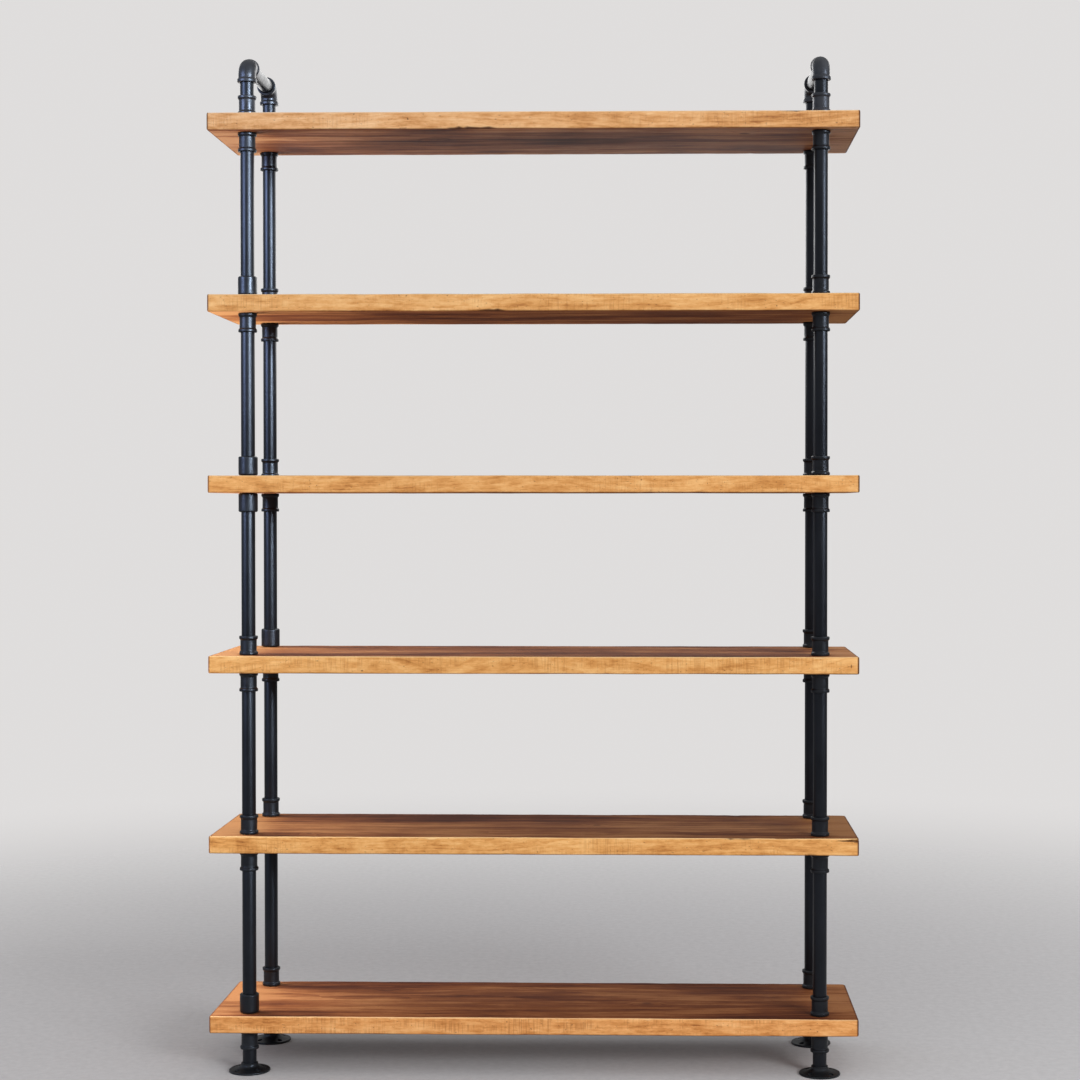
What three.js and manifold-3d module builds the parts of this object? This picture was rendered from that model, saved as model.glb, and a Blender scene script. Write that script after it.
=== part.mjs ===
import * as THREE from "three";
import { mergeVertices } from "three/addons/utils/BufferGeometryUtils.js";
import Module from "manifold-3d";

// A free-standing bookcase: six solid timber shelves threaded on four uprights of 3/4 inch black iron pipe.
// Each shelf is clamped between a socket under it and a socket on top of it, which share a short nipple
// that passes through the shelf. Floor flanges carry the uprights, and at the top two elbows and a cross
// pipe tie each front upright to the rear one.
// Millimetres. +X runs along the shelves, -Y is the front, +Z is up, and the floor is z = 0.

// ---------- driving dimensions ----------

const shelfCount = 6;
const shelfLength = 1260;
const shelfDepth = 300;
const shelfThickness = 34;
const shelfPitch = 350; // from one shelf's top face to the next one's
const lowestShelfTop = 115;

const uprightInset = 73; // from the shelf's end to the upright's axis
const uprightSpacing = 230; // from the front upright's axis to the rear one's
const shelfHoleClearance = 1; // round the nipple, on the radius

const pipeRadius = 26.9 / 2; // 3/4 inch BSP pipe
const pipeBoreRadius = 21.7 / 2;
const threadDepth = 15; // how far a pipe's end screws into a fitting
const threadClearance = 0.3; // stands in for the threads, on the radius
const seatGap = 0.3; // between a fitting and the shelf it is tightened against

const socketLength = 37;
const socketBodyRadius = 32 / 2;
const socketBeadRadius = 36.5 / 2;
const socketBeadHeight = 6;
const plainSocketRadius = 37.5 / 2;
const plainSocketChamfer = 2.5;

const flangeRadius = 80 / 2;
const flangeRimHeight = 4;
const flangeHubFootRadius = 26; // where the plate starts to sweep up into the hub
const flangeHubFootHeight = 7;
const flangeHubWaistRadius = 19;
const flangeHubWaistHeight = 11;
const flangeHubTopRadius = 33 / 2;
const flangeHeight = 17;
const flangeScrewCount = 4;
const flangeScrewCircleRadius = 58 / 2;
const flangeScrewRadius = 5.5 / 2;
const flangeCountersinkRadius = 10.5 / 2;
const flangeCountersinkDepth = 2.5;
const footStubStart = 2; // the stub pipe stops just short of the floor

const elbowCentreToFace = 33;
const elbowBodyRadius = 35 / 2;
const elbowBeadRadius = 38 / 2;
const elbowBeadHeight = 7;
const elbowBendRadius = 22;
const elbowCentreHeight = 1961;

const roundSides = 12; // facets round every round surface
const halfTurnSides = roundSides / 2; // a full circle in a Shape or Path is divided twice as finely
const bendSteps = 8; // facets along an elbow's bend
const screwHoleSides = 8;
const cutOverrun = 1; // how far a cutting body reaches past the face it opens

// ---------- where things are ----------

const uprightX = shelfLength / 2 - uprightInset;
const uprightY = uprightSpacing / 2;
const engagedRadius = pipeRadius + threadClearance; // a fitting's threaded bore

const uprights = [
  { name: "front_left", side: -1, row: -1 },
  { name: "front_right", side: 1, row: -1 },
  { name: "rear_left", side: -1, row: 1 },
  { name: "rear_right", side: 1, row: 1 },
];

// Most sockets are cast with a bead at each end. These few are plain barrels, from another batch.
const plainUpperSockets = new Set(["front_left 1", "front_left 4", "front_left 5", "rear_left 3"]);
const plainLowerSockets = new Set(["front_left 4"]);

const shelfTop = (level) => lowestShelfTop + (level - 1) * shelfPitch;
const shelfUnderside = (level) => shelfTop(level) - shelfThickness;

// ---------- materials ----------

const timber = new THREE.MeshStandardMaterial({ color: 0xb8793c, roughness: 0.6, metalness: 0 });
const blackPipe = new THREE.MeshStandardMaterial({ color: 0x16181c, roughness: 0.35, metalness: 0.3 });
const blackIron = new THREE.MeshStandardMaterial({ color: 0x1b1c1e, roughness: 0.6, metalness: 0.4 });

const ownMaterial = (material) => material.clone();

// ---------- turned shapes ----------

// A solid of revolution about Z. The outline is a list of [radius, height] pairs that runs anticlockwise
// (out along the bottom, up the outside, in along the top) and closes on its own first point.
function turned(outline, sides = roundSides) {
  const points = [...outline, outline[0]].map(([radius, height]) => new THREE.Vector2(radius, height));
  return new THREE.LatheGeometry(points, sides).rotateX(Math.PI / 2);
}

// The outside of a socket that stands on the height given, from its bottom edge to its top edge.
function socketOutside(foot, isPlain) {
  const head = foot + socketLength;
  if (isPlain) {
    return [
      [plainSocketRadius - plainSocketChamfer, foot],
      [plainSocketRadius, foot + plainSocketChamfer],
      [plainSocketRadius, head - plainSocketChamfer],
      [plainSocketRadius - plainSocketChamfer, head],
    ];
  }
  return [
    [socketBeadRadius, foot],
    [socketBeadRadius, foot + socketBeadHeight],
    [socketBodyRadius, foot + socketBeadHeight],
    [socketBodyRadius, head - socketBeadHeight],
    [socketBeadRadius, head - socketBeadHeight],
    [socketBeadRadius, head],
  ];
}

// The threaded mouth at a socket's foot: it takes the top of the nipple, and narrows to the pipe's bore.
function socketMouth(foot, nippleTop) {
  return [
    [pipeBoreRadius, nippleTop + seatGap],
    [engagedRadius, nippleTop + seatGap],
    [engagedRadius, foot],
  ];
}

const upperSocketFoot = (level) => shelfTop(level) + seatGap;
const lowerSocketFoot = (level) => shelfUnderside(level) - seatGap - socketLength;
const nippleTop = (level) => upperSocketFoot(level) + threadDepth;

// A loose socket on a shelf, threaded right through.
function upperSocket(upright, level) {
  const foot = upperSocketFoot(level);
  const isPlain = plainUpperSockets.has(`${upright} ${level}`);
  return turned([
    [engagedRadius, foot],
    ...socketOutside(foot, isPlain),
    [engagedRadius, foot + socketLength],
  ]);
}

// The pipe's upper end: the socket under a shelf, and the nipple that goes on through the shelf.
function pipeHead(upright, level) {
  const isPlain = plainLowerSockets.has(`${upright} ${level}`);
  return [
    [pipeRadius, lowerSocketFoot(level)],
    ...socketOutside(lowerSocketFoot(level), isPlain),
    [pipeRadius, lowerSocketFoot(level) + socketLength],
    [pipeRadius, nippleTop(level)],
    [pipeBoreRadius, nippleTop(level)],
  ];
}

// The pipe's lower end where it carries its own socket, standing on a shelf.
function pipeFootWithSocket(upright, level) {
  const foot = upperSocketFoot(level);
  const isPlain = plainUpperSockets.has(`${upright} ${level}`);
  return [
    ...socketMouth(foot, nippleTop(level)),
    ...socketOutside(foot, isPlain),
    [pipeRadius, foot + socketLength],
  ];
}

// The stub pipe in the floor flange, with the lowest socket and nipple.
function footPost(upright) {
  return turned([[pipeBoreRadius, footStubStart], [pipeRadius, footStubStart], ...pipeHead(upright, 1)]);
}

// The pipe from one shelf to the next. The lowest one carries the socket at its foot, and each of the
// others is screwed into a loose socket.
function shelfPipe(upright, level) {
  const pipeStart = upperSocketFoot(level) + socketLength - threadDepth;
  const foot = level === 1
    ? pipeFootWithSocket(upright, level)
    : [[pipeBoreRadius, pipeStart], [pipeRadius, pipeStart]];
  return turned([...foot, ...pipeHead(upright, level + 1)]);
}

// The socket on the top shelf, with the stub pipe that reaches up into the elbow.
function topPost(upright) {
  const stubEnd = elbowCentreHeight - elbowCentreToFace + threadDepth;
  return turned([
    ...pipeFootWithSocket(upright, shelfCount),
    [pipeRadius, stubEnd],
    [pipeBoreRadius, stubEnd],
  ]);
}

// The level pipe between a front elbow and the rear one, centred on the origin and lying along Y.
function crossPipe() {
  const halfLength = uprightY - elbowCentreToFace + threadDepth;
  return turned([
    [pipeBoreRadius, -halfLength],
    [pipeRadius, -halfLength],
    [pipeRadius, halfLength],
    [pipeBoreRadius, halfLength],
  ]).rotateX(Math.PI / 2);
}

// ---------- shelf ----------

// A plank with a drilled hole for each upright.
function shelf() {
  const outline = new THREE.Shape([
    new THREE.Vector2(-shelfLength / 2, -shelfDepth / 2),
    new THREE.Vector2(shelfLength / 2, -shelfDepth / 2),
    new THREE.Vector2(shelfLength / 2, shelfDepth / 2),
    new THREE.Vector2(-shelfLength / 2, shelfDepth / 2),
  ]);
  for (const { side, row } of uprights) {
    const hole = new THREE.Path();
    hole.absarc(side * uprightX, row * uprightY, pipeRadius + shelfHoleClearance, 0, 2 * Math.PI);
    outline.holes.push(hole);
  }
  return new THREE.ExtrudeGeometry(outline, {
    depth: shelfThickness,
    curveSegments: halfTurnSides,
    bevelEnabled: false,
  });
}

// ---------- shapes joined and cut ----------

const wasm = await Module();
wasm.setup();

function toSolid(geometry) {
  const bare = geometry.clone();
  bare.deleteAttribute("normal");
  bare.deleteAttribute("uv");
  const merged = mergeVertices(bare);
  const vertProperties = new Float32Array(merged.attributes.position.array);
  const triVerts = new Uint32Array(merged.index.array);
  return new wasm.Manifold(new wasm.Mesh({ numProp: 3, vertProperties, triVerts }));
}

function toGeometry(solid) {
  const mesh = solid.getMesh();
  const geometry = new THREE.BufferGeometry();
  geometry.setAttribute("position", new THREE.BufferAttribute(new Float32Array(mesh.vertProperties), 3));
  geometry.setIndex(new THREE.BufferAttribute(new Uint32Array(mesh.triVerts), 1));
  geometry.computeVertexNormals();
  return geometry;
}

// The round plate that stands on the floor. It sweeps up into a hub for the pipe, and has countersunk
// screw holes round it.
function floorFlange() {
  let flange = toSolid(turned([
    [engagedRadius, 0],
    [flangeRadius, 0],
    [flangeRadius, flangeRimHeight],
    [flangeHubFootRadius, flangeHubFootHeight],
    [flangeHubWaistRadius, flangeHubWaistHeight],
    [flangeHubTopRadius, flangeHeight],
    [engagedRadius, flangeHeight],
  ]));
  const countersinkFoot = flangeRimHeight - flangeCountersinkDepth;
  const abovePlate = flangeHubWaistHeight;
  const screwHole = turned([
    [0, -cutOverrun],
    [flangeScrewRadius, -cutOverrun],
    [flangeScrewRadius, countersinkFoot],
    [flangeCountersinkRadius, flangeRimHeight],
    [flangeCountersinkRadius, abovePlate],
    [0, abovePlate],
  ], screwHoleSides);
  for (let index = 0; index < flangeScrewCount; index += 1) {
    const angle = ((index + 0.5) / flangeScrewCount) * 2 * Math.PI;
    const across = flangeScrewCircleRadius * Math.cos(angle);
    const along = flangeScrewCircleRadius * Math.sin(angle);
    flange = flange.subtract(toSolid(screwHole.clone().translate(across, along, 0)));
  }
  return toGeometry(flange);
}

// An elbow's centre line: up from the lower mouth, round a quarter bend, and away along +Y. It is centred
// where the two mouths' axes cross.
class ElbowLine extends THREE.Curve {
  constructor(straight) {
    super();
    this.straight = straight; // the length of each straight end
    this.bend = (elbowBendRadius * Math.PI) / 2;
  }

  getPoint(share, target = new THREE.Vector3()) {
    const travelled = share * (2 * this.straight + this.bend);
    const pastBend = travelled - this.straight - this.bend;
    if (travelled < this.straight) {
      return target.set(0, 0, -elbowBendRadius - this.straight + travelled);
    }
    if (pastBend > 0) {
      return target.set(0, elbowBendRadius + pastBend, 0);
    }
    const angle = (travelled - this.straight) / elbowBendRadius;
    const away = elbowBendRadius * (1 - Math.cos(angle));
    const up = elbowBendRadius * (Math.sin(angle) - 1);
    return target.set(0, away, up);
  }
}

function elbowTube(radius, straight) {
  const section = new THREE.Shape().absarc(0, 0, radius, 0, 2 * Math.PI);
  return toSolid(new THREE.ExtrudeGeometry(section, {
    extrudePath: new ElbowLine(straight),
    steps: bendSteps,
    curveSegments: halfTurnSides,
    bevelEnabled: false,
  }));
}

// A disc or plug at each mouth of an elbow, from one depth to another measured out from the centre.
function atBothMouths(radius, inner, outer) {
  const disc = turned([[0, -outer], [radius, -outer], [radius, -inner], [0, -inner]]);
  const level = disc.clone().rotateX(Math.PI / 2);
  return toSolid(disc).add(toSolid(level));
}

// A quarter-bend elbow with a bead round each threaded mouth.
function elbow() {
  const straight = elbowCentreToFace - elbowBendRadius;
  const body = elbowTube(elbowBodyRadius, straight)
    .add(atBothMouths(elbowBeadRadius, elbowCentreToFace - elbowBeadHeight, elbowCentreToFace));
  const threadEnd = elbowCentreToFace - threadDepth - seatGap;
  const hollow = elbowTube(pipeBoreRadius, straight)
    .add(atBothMouths(engagedRadius, threadEnd, elbowCentreToFace + cutOverrun));
  return toGeometry(body.subtract(hollow));
}

// ---------- assembly ----------

const bookcase = new THREE.Group();

function addNode(parent, name, geometry, material, place = [0, 0, 0]) {
  const mesh = new THREE.Mesh(geometry, ownMaterial(material));
  mesh.name = name;
  mesh.position.set(...place);
  parent.add(mesh);
  return mesh;
}

for (const { name, side, row } of uprights) {
  const upright = new THREE.Group();
  upright.position.set(side * uprightX, row * uprightY, 0);
  addNode(upright, `${name}_floor_flange`, floorFlange(), blackIron);
  addNode(upright, `${name}_foot_post`, footPost(name), blackPipe);
  for (let level = 1; level < shelfCount; level += 1) {
    addNode(upright, `${name}_pipe_${level}`, shelfPipe(name, level), blackPipe);
  }
  for (let level = 2; level < shelfCount; level += 1) {
    addNode(upright, `${name}_socket_${level}`, upperSocket(name, level), blackIron);
  }
  addNode(upright, `${name}_top_post`, topPost(name), blackPipe);
  const corner = addNode(upright, `${name}_elbow`, elbow(), blackIron, [0, 0, elbowCentreHeight]);
  corner.rotation.z = row < 0 ? 0 : Math.PI; // each elbow turns towards the other row
  bookcase.add(upright);
}

addNode(bookcase, "left_cross_pipe", crossPipe(), blackPipe, [-uprightX, 0, elbowCentreHeight]);
addNode(bookcase, "right_cross_pipe", crossPipe(), blackPipe, [uprightX, 0, elbowCentreHeight]);

for (let level = 1; level <= shelfCount; level += 1) {
  addNode(bookcase, `shelf_${level}`, shelf(), timber, [0, 0, shelfUnderside(level)]);
}

export default bookcase;
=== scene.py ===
import math
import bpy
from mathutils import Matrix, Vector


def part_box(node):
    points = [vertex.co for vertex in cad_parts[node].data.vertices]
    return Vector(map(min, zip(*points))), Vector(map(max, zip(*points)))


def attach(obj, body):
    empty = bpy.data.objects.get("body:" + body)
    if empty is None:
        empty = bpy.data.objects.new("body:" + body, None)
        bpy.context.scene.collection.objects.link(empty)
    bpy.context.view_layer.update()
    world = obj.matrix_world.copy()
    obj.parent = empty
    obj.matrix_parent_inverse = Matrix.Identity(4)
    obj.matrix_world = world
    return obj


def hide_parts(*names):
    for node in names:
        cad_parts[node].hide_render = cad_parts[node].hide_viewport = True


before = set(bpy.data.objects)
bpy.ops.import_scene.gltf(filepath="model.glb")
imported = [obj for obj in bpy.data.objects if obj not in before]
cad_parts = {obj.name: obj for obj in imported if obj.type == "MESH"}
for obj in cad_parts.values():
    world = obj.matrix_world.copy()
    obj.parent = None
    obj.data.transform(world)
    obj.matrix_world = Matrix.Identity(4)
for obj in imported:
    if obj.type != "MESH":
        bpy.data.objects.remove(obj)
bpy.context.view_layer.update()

from types import SimpleNamespace
from typing import NamedTuple

import bpy
from mathutils import Vector, noise

# A free-standing bookcase: six rough-sawn planks on four uprights of black iron pipe. Every plank, pipe,
# nipple and fitting is a mesh of its own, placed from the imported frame. Metres, +Z up, the front faces -Y.

MM = 0.001
UPRIGHTS = ("front_left", "front_right", "rear_left", "rear_right")
TOP_LEVEL = sum(name.startswith("shelf_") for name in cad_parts)
UP = Vector((0, 0, 1))


# ---------- sizes worked out from the frame ----------

def size_of(node):
    low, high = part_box(node)
    return high - low


def centre_of(node):
    low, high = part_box(node)
    return (low + high) / 2


def shelf_top(level):
    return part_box(f"shelf_{level}")[1].z


def shelf_underside(level):
    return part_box(f"shelf_{level}")[0].z


def upright_axis(upright):
    """The point on the floor that an upright stands over."""
    middle = centre_of(f"{upright}_floor_flange")
    return Vector((middle.x, middle.y, 0))


PIPE_RADIUS = size_of("left_cross_pipe").z / 2
PIPE_BORE_RADIUS = 10.85 * MM
SOCKET_LENGTH = size_of("front_right_socket_2").z
BEAD_RADIUS = size_of("front_right_socket_2").x / 2
PLAIN_RADIUS = size_of("front_left_socket_4").x / 2
SEAT_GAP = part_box("front_right_socket_2")[0].z - shelf_top(2)
THREAD_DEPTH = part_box("front_right_socket_2")[1].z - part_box("front_right_pipe_2")[0].z
FLANGE_RADIUS = size_of("front_left_floor_flange").x / 2
FLANGE_HEIGHT = size_of("front_left_floor_flange").z
UPRIGHT_X = upright_axis("front_right").x
ELBOW_HEIGHT = centre_of("left_cross_pipe").z
ELBOW_BEAD_RADIUS = size_of("front_left_elbow").x / 2
ELBOW_REACH = size_of("front_left_elbow").y - ELBOW_BEAD_RADIUS  # from its centre to each mouth
SHELF_HALF_LENGTH = size_of("shelf_1").x / 2

# The few sockets cast without beads
PLAIN_UPPER_SOCKETS = {("front_left", 1), ("front_left", 4), ("front_left", 5), ("rear_left", 3)}
PLAIN_LOWER_SOCKETS = {("front_left", 4)}


# ---------- camera ----------

CAMERA_PLACE = Vector((0.2412, -4.1399, 1.1104))
CAMERA_YAW = 0.0225
CAMERA_PITCH = -0.0155
CAMERA_LENS = 69.06333
CAMERA_SENSOR_WIDTH = 36.0
CAMERA_SHIFT = (-0.06564815, -0.00407407)  # of the picture, in picture widths


def add_camera():
    data = bpy.data.cameras.new("camera")
    data.sensor_width = CAMERA_SENSOR_WIDTH
    data.lens = CAMERA_LENS
    data.shift_x, data.shift_y = CAMERA_SHIFT
    camera = bpy.data.objects.new("camera", data)
    camera.location = CAMERA_PLACE
    camera.rotation_euler = (math.pi / 2 + CAMERA_PITCH, 0, CAMERA_YAW)
    bpy.context.scene.collection.objects.link(camera)
    bpy.context.scene.camera = camera


# ---------- shader nodes ----------

class Nodes:
    """Adds nodes to the tree of a material or world. Inputs are numbers, colours, vectors or sockets."""

    def __init__(self, tree):
        self.tree = tree

    def add(self, kind, inputs=None, **settings):
        node = self.tree.nodes.new(kind)
        for key, value in settings.items():
            setattr(node, key, value)
        for key, value in (inputs or {}).items():
            self.feed(node.inputs[key], value)
        return node

    def feed(self, socket, value):
        if isinstance(value, bpy.types.NodeSocket):
            self.tree.links.new(value, socket)
        else:
            socket.default_value = value

    def maths(self, operation, *values, clamp=False):
        node = self.add("ShaderNodeMath", dict(enumerate(values)), operation=operation)
        node.use_clamp = clamp
        return node.outputs[0]

    def product(self, first, *others):
        for other in others:
            first = self.maths("MULTIPLY", first, other)
        return first

    def weighted(self, start, *terms):
        """start plus the value times the weight of each term."""
        for value, weight in terms:
            start = self.maths("MULTIPLY_ADD", value, weight, start)
        return start

    def centred(self, share):
        return self.maths("SUBTRACT", share, 0.5)

    def hypotenuse(self, first, second, second_weight=1.0):
        squared = self.maths("MULTIPLY_ADD", first, first, self.product(second, second, second_weight))
        return self.maths("POWER", squared, 0.5)

    def scaled(self, vector, factors):
        node = self.add("ShaderNodeVectorMath", {0: vector, 1: factors}, operation="MULTIPLY")
        return node.outputs[0]

    def moved(self, vector, offset):
        return self.add("ShaderNodeVectorMath", {0: vector, 1: offset}, operation="ADD").outputs[0]

    def noise(self, vector, scale, detail=2.0, roughness=0.5, distortion=0.0):
        inputs = {"Vector": vector, "Scale": scale, "Detail": detail, "Roughness": roughness,
                  "Distortion": distortion}
        return self.add("ShaderNodeTexNoise", inputs).outputs["Fac"]

    def grain(self, vector, stretch, detail=2.0, roughness=0.5, distortion=0.0):
        """Noise with its own scale along each axis."""
        return self.noise(self.scaled(vector, stretch), 1.0, detail, roughness, distortion)

    def step(self, value, low, high, to_low=0.0, to_high=1.0):
        """value mapped smoothly from low..high to to_low..to_high."""
        inputs = {"Value": value, "From Min": low, "From Max": high, "To Min": to_low, "To Max": to_high}
        return self.add("ShaderNodeMapRange", inputs, interpolation_type="SMOOTHSTEP").outputs["Result"]

    def ramp(self, value, stops):
        node = self.add("ShaderNodeValToRGB", {"Fac": value})
        elements = node.color_ramp.elements
        while len(elements) < len(stops):
            elements.new(0.5)
        for element, (position, colour) in zip(elements, stops):
            element.position = position
            element.color = (*colour, 1)
        return node.outputs["Color"]

    def mix(self, share, first, second, blend="MIX"):
        node = self.add("ShaderNodeMix", data_type="RGBA", blend_type=blend)
        self.feed(node.inputs["Factor"], share)
        for socket, value in zip((node.inputs[6], node.inputs[7]), (first, second)):
            self.feed(socket, (*value, 1) if isinstance(value, tuple) else value)
        return node.outputs[2]

    def bump(self, height, distance, strength):
        inputs = {"Height": height, "Distance": distance, "Strength": strength}
        return self.add("ShaderNodeBump", inputs).outputs["Normal"]

    def axes(self, vector):
        return self.add("ShaderNodeSeparateXYZ", {0: vector}).outputs

    def length(self, vector):
        return self.add("ShaderNodeVectorMath", {0: vector}, operation="LENGTH").outputs["Value"]

    def object_place(self):
        return self.add("ShaderNodeTexCoord").outputs["Object"]

    def attribute(self, name):
        return self.add("ShaderNodeAttribute", attribute_name=name).outputs["Fac"]


def new_material(name):
    material = bpy.data.materials.new(name)
    material.use_nodes = True
    material.node_tree.nodes.clear()
    return material, Nodes(material.node_tree)


def finish_material(nodes, **inputs):
    inputs = {key.replace("_", " "): value for key, value in inputs.items()}
    shader = nodes.add("ShaderNodeBsdfPrincipled", inputs)
    nodes.add("ShaderNodeOutputMaterial", {"Surface": shader.outputs["BSDF"]})


# ---------- the wood ----------

RING_SPACING = 6.5 * MM
KNOT_STRETCH = 0.45  # weight of the squared distance along the plank
END_LIGHT_REACH = 130 * MM  # how far in from each end the planed faces are painted paler, as painted light of the windows beside the ends

# colours from thinly to deeply stained
# the planed faces: deeper stain together with painted shade, as tops and undersides get less light than the
# front edges
FACE_STAIN_AND_SHADE = ((0.0, (0.52, 0.235, 0.090)), (0.33, (0.31, 0.108, 0.036)),
              (0.66, (0.155, 0.045, 0.018)), (1.0, (0.058, 0.017, 0.010)))
EDGE_STAIN = ((0.0, (0.92, 0.55, 0.235)), (0.45, (0.76, 0.385, 0.135)),
              (0.75, (0.60, 0.27, 0.080)), (1.0, (0.36, 0.135, 0.040)))
END_STAIN = ((0.15, (0.20, 0.080, 0.033)), (0.45, (0.12, 0.045, 0.020)), (0.80, (0.045, 0.017, 0.010)))
SEAM_COLOUR = (0.060, 0.017, 0.010)
SAW_MARK_COLOUR = (0.36, 0.145, 0.040)
SPECK_COLOUR = (0.10, 0.035, 0.018)
KNOT_COLOUR = (0.11, 0.042, 0.02)
PIN_KNOT_COLOUR = (0.07, 0.024, 0.012)
ARRIS_COLOUR = (0.085, 0.029, 0.014)
# the pale of the upper front arris: wear together with a painted highlight
RUBBED_AND_LIT_COLOUR = (1.0, 0.68, 0.34)
# painted shade in the nicks and in the split
NICK_SHADE_COLOUR = (0.05, 0.02, 0.012)


def wood_rings(nodes, place, own, heart, knots):
    """How stained the growth rings are at each point, 0 to 1, how near it is to the dark late wood of its
    ring, and how much of a knot it is. The rings run round a heart line along X through heart = (y, z), and
    swell round the knots, each given as (x, lean, radius): a branch that leaves the heart at x, leaning by an
    angle from straight up."""
    wander = nodes.product(nodes.centred(nodes.grain(own, (1.6, 2.5, 2.5))), 0.16)
    x, y, z = nodes.axes(place)
    across = nodes.maths("ADD", nodes.maths("SUBTRACT", y, heart[0]), wander)
    upward = nodes.maths("SUBTRACT", z, heart[1])
    radius = nodes.hypotenuse(across, upward)
    knot_share = 0.0
    for knot_x, lean, knot_radius in knots:
        aside = nodes.maths("SUBTRACT", nodes.product(across, math.cos(lean)),
                            nodes.product(upward, math.sin(lean)))
        along = nodes.maths("SUBTRACT", x, knot_x)
        off_knot = nodes.hypotenuse(aside, along, KNOT_STRETCH)
        swell = nodes.step(off_knot, knot_radius * 0.6, knot_radius * 4.5, 1.0, 0.0)
        radius = nodes.weighted(radius, (swell, knot_radius * 1.6))
        in_knot = nodes.step(off_knot, knot_radius * 0.5, knot_radius, 1.0, 0.0)
        knot_share = nodes.maths("ADD", knot_share, in_knot)
    unrolled = nodes.add("ShaderNodeCombineXYZ", {0: nodes.product(x, 0.9), 1: nodes.product(radius, 95.0),
                                                  2: nodes.product(y, 3.0)}).outputs[0]
    rings = nodes.noise(unrolled, 1.0, 3.0, 0.62)
    uneven = nodes.grain(own, (5.0, 30.0, 30.0))
    ring_count = nodes.weighted(0.0, (uneven, 1.6), (radius, 1 / RING_SPACING))
    late_wood = nodes.maths("POWER", nodes.maths("FRACT", ring_count), 2.5)
    return rings, late_wood, knot_share


def wood_patterns(nodes, seed, heart, knots):
    """What all the faces of a plank share: its rings, the noises through it and which way its skin faces."""
    place = nodes.object_place()
    own = nodes.moved(place, (seed * 3.7, seed * 1.9, seed * 2.3))
    rings, late_wood, knot = wood_rings(nodes, place, own, heart, knots)
    normal = nodes.axes(nodes.add("ShaderNodeNewGeometry").outputs["Normal"])
    return SimpleNamespace(
        place=place,
        own=own,
        rings=rings,
        late_wood=late_wood,
        knot=knot,
        streak=nodes.grain(own, (1.1, 8.0, 12.0), 5.0, 0.60, 0.6),
        cloud=nodes.grain(own, (2.6, 7.0, 9.0), 4.0, 0.55),
        blotch=nodes.grain(own, (6.0, 13.0, 13.0), 4.0, 0.6),
        fibre=nodes.grain(own, (16.0, 700.0, 700.0), 3.0, 0.7),
        fine=nodes.grain(own, (70.0, 300.0, 300.0), 3.0, 0.65),
        from_middle=nodes.maths("ABSOLUTE", nodes.axes(place)[0]),
        normal=normal,
        on_edge=nodes.step(nodes.maths("ABSOLUTE", normal[1]), 0.45, 0.85),
        on_end=nodes.step(nodes.maths("ABSOLUTE", normal[0]), 0.25, 0.75),
    )


def planed_face(nodes, wood, face_tone):
    """The wide faces, darker than the edges by deeper stain and by painted shade, and painted paler towards
    the ends as painted light, with a few dark seams.
    """
    vein = nodes.grain(wood.own, (3.5, 55.0, 55.0), 4.0, 0.6)
    # painted light: the planed faces turn paler towards each end, where window light falls in past the shelf
    # above
    painted_end_light = nodes.step(wood.from_middle, SHELF_HALF_LENGTH - END_LIGHT_REACH, SHELF_HALF_LENGTH - 5 * MM)
    depth = nodes.weighted(
        -0.20,
        (nodes.step(wood.rings, 0.36, 0.66), 0.20),
        (wood.late_wood, 0.24),
        (nodes.step(vein, 0.38, 0.64), 0.24),
        (nodes.step(wood.streak, 0.40, 0.62), 0.42),
        (nodes.step(wood.cloud, 0.38, 0.64), 0.30),
        (nodes.step(wood.blotch, 0.34, 0.68), 0.18),
        (nodes.centred(wood.fibre), 0.45),
        (nodes.centred(wood.fine), 0.35),
        (painted_end_light, -0.55),
    )
    face = nodes.ramp(depth, FACE_STAIN_AND_SHADE)
    off_seam = nodes.maths("ABSOLUTE", nodes.centred(nodes.grain(wood.own, (0.8, 9.0, 9.0))))
    seam = nodes.product(nodes.step(off_seam, 0.0, 0.010, 1.0, 0.0), nodes.step(wood.cloud, 0.50, 0.58), 0.6)
    face = nodes.mix(seam, face, SEAM_COLOUR)
    return nodes.mix(1.0, face, (face_tone,) * 3, "MULTIPLY")


def sawn_edge(nodes, wood, saw_marks):
    """The long edges, golden and mottled, and where the upright band-saw marks lie, in clusters."""
    mottle = nodes.grain(wood.own, (24.0, 45.0, 70.0), 4.0, 0.65)
    shade = nodes.weighted(
        0.0,
        (nodes.step(mottle, 0.32, 0.68), 0.40),
        (nodes.step(wood.blotch, 0.34, 0.70), 0.26),
        (nodes.step(wood.rings, 0.36, 0.66), 0.20),
        (wood.late_wood, 0.16),
        (nodes.centred(wood.fibre), 0.6),
        (nodes.centred(wood.fine), 0.7),
    )
    kerf = nodes.grain(wood.own, (310.0, 9.0, 14.0))
    cluster = nodes.grain(wood.own, (7.0, 10.0, 36.0), 3.0, 0.6)
    kerf_mark = nodes.product(nodes.step(kerf, 0.47, 0.63), nodes.step(cluster, 0.44, 0.62))
    edge = nodes.mix(nodes.product(kerf_mark, saw_marks), nodes.ramp(shade, EDGE_STAIN), SAW_MARK_COLOUR)
    return edge, kerf_mark


def end_grain(nodes, wood):
    shade = nodes.weighted(0.0, (wood.late_wood, 0.55), (wood.blotch, 0.5), (nodes.centred(wood.fine), 0.5))
    return nodes.ramp(shade, END_STAIN)


def with_pin_knots(nodes, wood, colour, pin_knots):
    for knot_x, knot_z, half_width, half_height in pin_knots:
        off_middle = nodes.moved(wood.place, (-knot_x, 0, -knot_z))
        distance = nodes.length(nodes.scaled(off_middle, (1 / half_width, 0, 1 / half_height)))
        spot = nodes.product(nodes.step(distance, 0.4, 1.3, 0.75, 0.0), wood.on_edge)
        colour = nodes.mix(spot, colour, PIN_KNOT_COLOUR)
    return colour


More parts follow.
